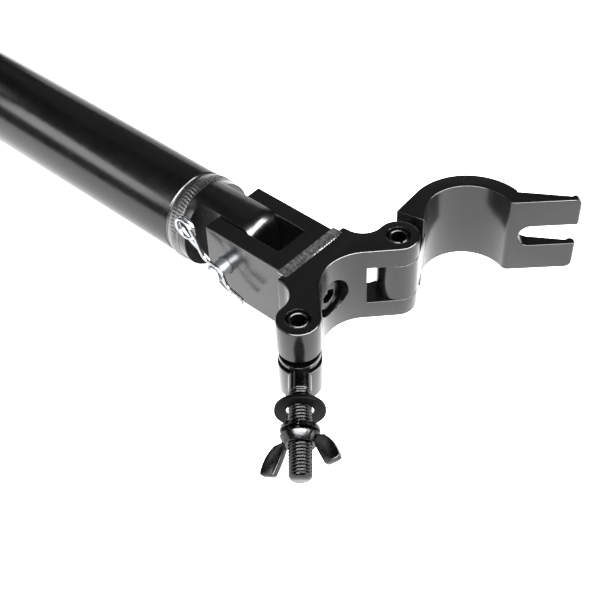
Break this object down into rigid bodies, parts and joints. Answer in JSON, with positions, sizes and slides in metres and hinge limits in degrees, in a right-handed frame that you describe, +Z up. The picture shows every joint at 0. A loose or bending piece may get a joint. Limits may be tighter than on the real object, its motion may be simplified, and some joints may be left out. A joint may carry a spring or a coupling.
{
  "type": "half coupler arm",
  "caption": "Round tube arm with a pinned clevis head carrying a hinged pipe coupler, swing bolt and wing nut, held by a pin and spring clip.",
  "frame": {"origin": "centre of the tube end cap's outer face", "axes": "+X along the tube towards the pipe clamp, +Y along the clevis pin towards its head and the jaw's side, +Z up, along the clamped pipe"},
  "size_m": [0.4299, 0.2273, 0.0578],
  "materials": {
    "black_coat": "satin black powder coat",
    "weld_coat": "rippled weld bead under the same black powder coat",
    "black_hardware": "glossy black plated steel",
    "zinc_plate": "bright zinc plate",
    "cap_plastic": "moulded, satin"
  },
  "bodies": {
    "arm": {"arm_tube": "black_coat", "tube_end_cap": "cap_plastic", "tongue_plug": "black_coat", "tube_weld": "weld_coat"},
    "head": {"clevis_block": "black_coat", "block_weld_top": "weld_coat", "block_weld_bottom": "weld_coat", "block_weld_left": "weld_coat", "block_weld_right": "weld_coat", "saddle": "black_coat", "saddle_screw": "black_hardware", "jaw_hinge_pin": "black_hardware", "bolt_hinge_pin": "black_hardware"},
    "pin": {"clevis_pin": "zinc_plate", "r_clip": "zinc_plate"},
    "jaw": {"jaw": "black_coat"},
    "bolt": {"swing_bolt": "black_hardware"},
    "washer": {"flat_washer": "black_hardware"},
    "spring": {"spring_washer": "black_hardware"},
    "nut": {"wing_nut": "black_hardware"}
  },
  "joints": [
    {"name": "head_tilt", "type": "hinge", "parent": "arm", "child": "head", "pos_m": [0.3, 0, 0], "axis": [0, 1, 0], "range_deg": [-100, 100]},
    {"name": "pin_turn", "type": "hinge", "parent": "head", "child": "pin", "pos_m": [0.3, 0, 0], "axis": [0, 1, 0], "continuous": true},
    {"name": "jaw_swing", "type": "hinge", "parent": "head", "child": "jaw", "pos_m": [0.371, 0.04, -0.004], "axis": [0, 0, 1], "range_deg": [-127.5, 74]},
    {"name": "bolt_swing", "type": "hinge", "parent": "head", "child": "bolt", "pos_m": [0.371, -0.04, -0.004], "axis": [0, 0, 1], "range_deg": [-100, 100]},
    {"name": "washer_slide", "type": "slide", "parent": "bolt", "child": "washer", "axis": [0.6494, -0.7315, -0.2079], "range_m": [-0.0022, 0.00396]},
    {"name": "spring_slide", "type": "slide", "parent": "bolt", "child": "spring", "axis": [0.6494, -0.7315, -0.2079], "range_m": [-0.00875, 0.01575]},
    {"name": "nut_spin", "type": "hinge", "parent": "spring", "child": "nut", "pos_m": [0.40347, -0.07657, -0.0144], "axis": [0.6494, -0.7315, -0.2079], "range_deg": [-1800, 3240]}
  ],
  "couplings": [
    {"joint": "spring_slide", "follows": "nut_spin", "m_per_rad": 0.00027852},
    {"joint": "washer_slide", "follows": "nut_spin", "m_per_rad": 0.00007002}
  ]
}
